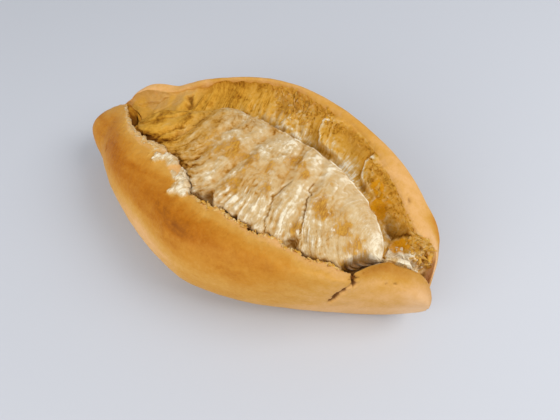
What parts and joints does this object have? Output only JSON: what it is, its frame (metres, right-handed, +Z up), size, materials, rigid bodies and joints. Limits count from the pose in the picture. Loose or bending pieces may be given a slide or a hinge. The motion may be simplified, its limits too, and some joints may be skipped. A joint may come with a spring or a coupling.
{
  "type": "crusty bread roll",
  "caption": "Oval crusty bread roll with drawn-in ends, split open along its top: a smooth front lip, a taller rear lip, and a pleated tongue of torn crumb risen between them.",
  "frame": {"origin": "middle of the roll's outer box, on the flat base that it rests on", "axes": "+X along the roll, from its lobed end to its other end; +Y from the front lip to the taller rear lip; +Z up"},
  "size_m": [0.18, 0.0964, 0.053],
  "materials": {
    "crust": "matte baked crust, golden brown and paler where the dough tore open"
  },
  "bodies": {
    "root": {"roll": "crust"}
  },
  "joints": []
}
